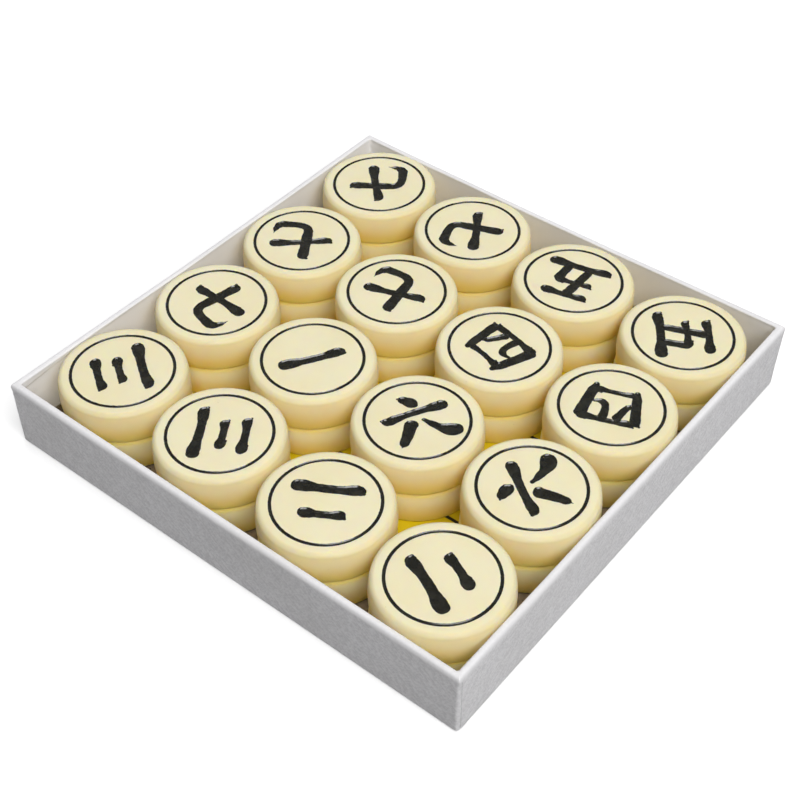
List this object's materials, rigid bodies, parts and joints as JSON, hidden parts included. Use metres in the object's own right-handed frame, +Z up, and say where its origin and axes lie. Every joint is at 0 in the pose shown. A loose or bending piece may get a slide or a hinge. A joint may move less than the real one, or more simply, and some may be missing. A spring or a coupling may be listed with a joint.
{
  "type": "boxed xiangqi set",
  "caption": "Open square tray of paper-wrapped board holding stacked layers of barrel-sided ivory plastic xiangqi discs, each with an engraved painted ring, on a folded yellow playing sheet.",
  "frame": {"origin": "middle of the underside of the tray, on the surface it stands on", "axes": "+Z up, -Y out of the front wall, +X out of the right wall"},
  "size_m": [0.1696, 0.1696, 0.0251],
  "materials": {
    "grey_board": "bare grey-brown board",
    "corner_tape": "plain kraft tape",
    "wrap_paper": "fine linen-embossed white paper",
    "sheet_film": "thin yellow film, black printed grid",
    "ivory_black_paint": "satin ivory plastic, engraving filled with glossy black paint",
    "ivory_red_paint": "satin ivory plastic, engraving filled with glossy red paint"
  },
  "bodies": {
    "tray": {"base_board": "grey_board", "front_wall_board": "grey_board", "back_wall_board": "grey_board", "left_wall_board": "grey_board", "right_wall_board": "grey_board", "corner_stays": "corner_tape", "side_wrap": "wrap_paper", "bottom_paper": "wrap_paper"},
    "playing_sheet": {"playing_sheet": "sheet_film"},
    "red_soldier_1": {"red_soldier_1": "ivory_red_paint"},
    "red_soldier_2": {"red_soldier_2": "ivory_red_paint"},
    "red_chariot_1": {"red_chariot_1": "ivory_red_paint"},
    "red_chariot_2": {"red_chariot_2": "ivory_red_paint"},
    "red_soldier_3": {"red_soldier_3": "ivory_red_paint"},
    "red_soldier_4": {"red_soldier_4": "ivory_red_paint"},
    "red_horse_1": {"red_horse_1": "ivory_red_paint"},
    "red_horse_2": {"red_horse_2": "ivory_red_paint"},
    "red_soldier_5": {"red_soldier_5": "ivory_red_paint"},
    "red_general": {"red_general": "ivory_red_paint"},
    "red_cannon_1": {"red_cannon_1": "ivory_red_paint"},
    "red_cannon_2": {"red_cannon_2": "ivory_red_paint"},
    "red_elephant_1": {"red_elephant_1": "ivory_red_paint"},
    "red_elephant_2": {"red_elephant_2": "ivory_red_paint"},
    "red_advisor_1": {"red_advisor_1": "ivory_red_paint"},
    "red_advisor_2": {"red_advisor_2": "ivory_red_paint"},
    "black_soldier_1": {"black_soldier_1": "ivory_black_paint"},
    "black_soldier_2": {"black_soldier_2": "ivory_black_paint"},
    "black_chariot_1": {"black_chariot_1": "ivory_black_paint"},
    "black_chariot_2": {"black_chariot_2": "ivory_black_paint"},
    "black_soldier_3": {"black_soldier_3": "ivory_black_paint"},
    "black_soldier_4": {"black_soldier_4": "ivory_black_paint"},
    "black_horse_1": {"black_horse_1": "ivory_black_paint"},
    "black_horse_2": {"black_horse_2": "ivory_black_paint"},
    "black_soldier_5": {"black_soldier_5": "ivory_black_paint"},
    "black_general": {"black_general": "ivory_black_paint"},
    "black_cannon_1": {"black_cannon_1": "ivory_black_paint"},
    "black_cannon_2": {"black_cannon_2": "ivory_black_paint"},
    "black_elephant_1": {"black_elephant_1": "ivory_black_paint"},
    "black_elephant_2": {"black_elephant_2": "ivory_black_paint"},
    "black_advisor_1": {"black_advisor_1": "ivory_black_paint"},
    "black_advisor_2": {"black_advisor_2": "ivory_black_paint"}
  },
  "joints": [
    {"name": "lift_playing_sheet", "type": "slide", "parent": "tray", "child": "playing_sheet", "axis": [0, 0, 1], "range_m": [0, 0.03]},
    {"name": "lift_red_soldier_1", "type": "slide", "parent": "playing_sheet", "child": "red_soldier_1", "axis": [0, 0, 1], "range_m": [0, 0.03]},
    {"name": "lift_red_soldier_2", "type": "slide", "parent": "playing_sheet", "child": "red_soldier_2", "axis": [0, 0, 1], "range_m": [0, 0.03]},
    {"name": "lift_red_chariot_1", "type": "slide", "parent": "playing_sheet", "child": "red_chariot_1", "axis": [0, 0, 1], "range_m": [0, 0.03]},
    {"name": "lift_red_chariot_2", "type": "slide", "parent": "playing_sheet", "child": "red_chariot_2", "axis": [0, 0, 1], "range_m": [0, 0.03]},
    {"name": "lift_red_soldier_3", "type": "slide", "parent": "playing_sheet", "child": "red_soldier_3", "axis": [0, 0, 1], "range_m": [0, 0.03]},
    {"name": "lift_red_soldier_4", "type": "slide", "parent": "playing_sheet", "child": "red_soldier_4", "axis": [0, 0, 1], "range_m": [0, 0.03]},
    {"name": "lift_red_horse_1", "type": "slide", "parent": "playing_sheet", "child": "red_horse_1", "axis": [0, 0, 1], "range_m": [0, 0.03]},
    {"name": "lift_red_horse_2", "type": "slide", "parent": "playing_sheet", "child": "red_horse_2", "axis": [0, 0, 1], "range_m": [0, 0.03]},
    {"name": "lift_red_soldier_5", "type": "slide", "parent": "playing_sheet", "child": "red_soldier_5", "axis": [0, 0, 1], "range_m": [0, 0.03]},
    {"name": "lift_red_general", "type": "slide", "parent": "playing_sheet", "child": "red_general", "axis": [0, 0, 1], "range_m": [0, 0.03]},
    {"name": "lift_red_cannon_1", "type": "slide", "parent": "playing_sheet", "child": "red_cannon_1", "axis": [0, 0, 1], "range_m": [0, 0.03]},
    {"name": "lift_red_cannon_2", "type": "slide", "parent": "playing_sheet", "child": "red_cannon_2", "axis": [0, 0, 1], "range_m": [0, 0.03]},
    {"name": "lift_red_elephant_1", "type": "slide", "parent": "playing_sheet", "child": "red_elephant_1", "axis": [0, 0, 1], "range_m": [0, 0.03]},
    {"name": "lift_red_elephant_2", "type": "slide", "parent": "playing_sheet", "child": "red_elephant_2", "axis": [0, 0, 1], "range_m": [0, 0.03]},
    {"name": "lift_red_advisor_1", "type": "slide", "parent": "playing_sheet", "child": "red_advisor_1", "axis": [0, 0, 1], "range_m": [0, 0.03]},
    {"name": "lift_red_advisor_2", "type": "slide", "parent": "playing_sheet", "child": "red_advisor_2", "axis": [0, 0, 1], "range_m": [0, 0.03]},
    {"name": "lift_black_soldier_1", "type": "slide", "parent": "red_soldier_1", "child": "black_soldier_1", "axis": [0, 0, 1], "range_m": [0, 0.02]},
    {"name": "lift_black_soldier_2", "type": "slide", "parent": "red_soldier_2", "child": "black_soldier_2", "axis": [0, 0, 1], "range_m": [0, 0.02]},
    {"name": "lift_black_chariot_1", "type": "slide", "parent": "red_chariot_1", "child": "black_chariot_1", "axis": [0, 0, 1], "range_m": [0, 0.02]},
    {"name": "lift_black_chariot_2", "type": "slide", "parent": "red_chariot_2", "child": "black_chariot_2", "axis": [0, 0, 1], "range_m": [0, 0.02]},
    {"name": "lift_black_soldier_3", "type": "slide", "parent": "red_soldier_3", "child": "black_soldier_3", "axis": [0, 0, 1], "range_m": [0, 0.02]},
    {"name": "lift_black_soldier_4", "type": "slide", "parent": "red_soldier_4", "child": "black_soldier_4", "axis": [0, 0, 1], "range_m": [0, 0.02]},
    {"name": "lift_black_horse_1", "type": "slide", "parent": "red_horse_1", "child": "black_horse_1", "axis": [0, 0, 1], "range_m": [0, 0.02]},
    {"name": "lift_black_horse_2", "type": "slide", "parent": "red_horse_2", "child": "black_horse_2", "axis": [0, 0, 1], "range_m": [0, 0.02]},
    {"name": "lift_black_soldier_5", "type": "slide", "parent": "red_soldier_5", "child": "black_soldier_5", "axis": [0, 0, 1], "range_m": [0, 0.02]},
    {"name": "lift_black_general", "type": "slide", "parent": "red_general", "child": "black_general", "axis": [0, 0, 1], "range_m": [0, 0.02]},
    {"name": "lift_black_cannon_1", "type": "slide", "parent": "red_cannon_1", "child": "black_cannon_1", "axis": [0, 0, 1], "range_m": [0, 0.02]},
    {"name": "lift_black_cannon_2", "type": "slide", "parent": "red_cannon_2", "child": "black_cannon_2", "axis": [0, 0, 1], "range_m": [0, 0.02]},
    {"name": "lift_black_elephant_1", "type": "slide", "parent": "red_elephant_1", "child": "black_elephant_1", "axis": [0, 0, 1], "range_m": [0, 0.02]},
    {"name": "lift_black_elephant_2", "type": "slide", "parent": "red_elephant_2", "child": "black_elephant_2", "axis": [0, 0, 1], "range_m": [0, 0.02]},
    {"name": "lift_black_advisor_1", "type": "slide", "parent": "red_advisor_1", "child": "black_advisor_1", "axis": [0, 0, 1], "range_m": [0, 0.02]},
    {"name": "lift_black_advisor_2", "type": "slide", "parent": "red_advisor_2", "child": "black_advisor_2", "axis": [0, 0, 1], "range_m": [0, 0.02]}
  ]
}
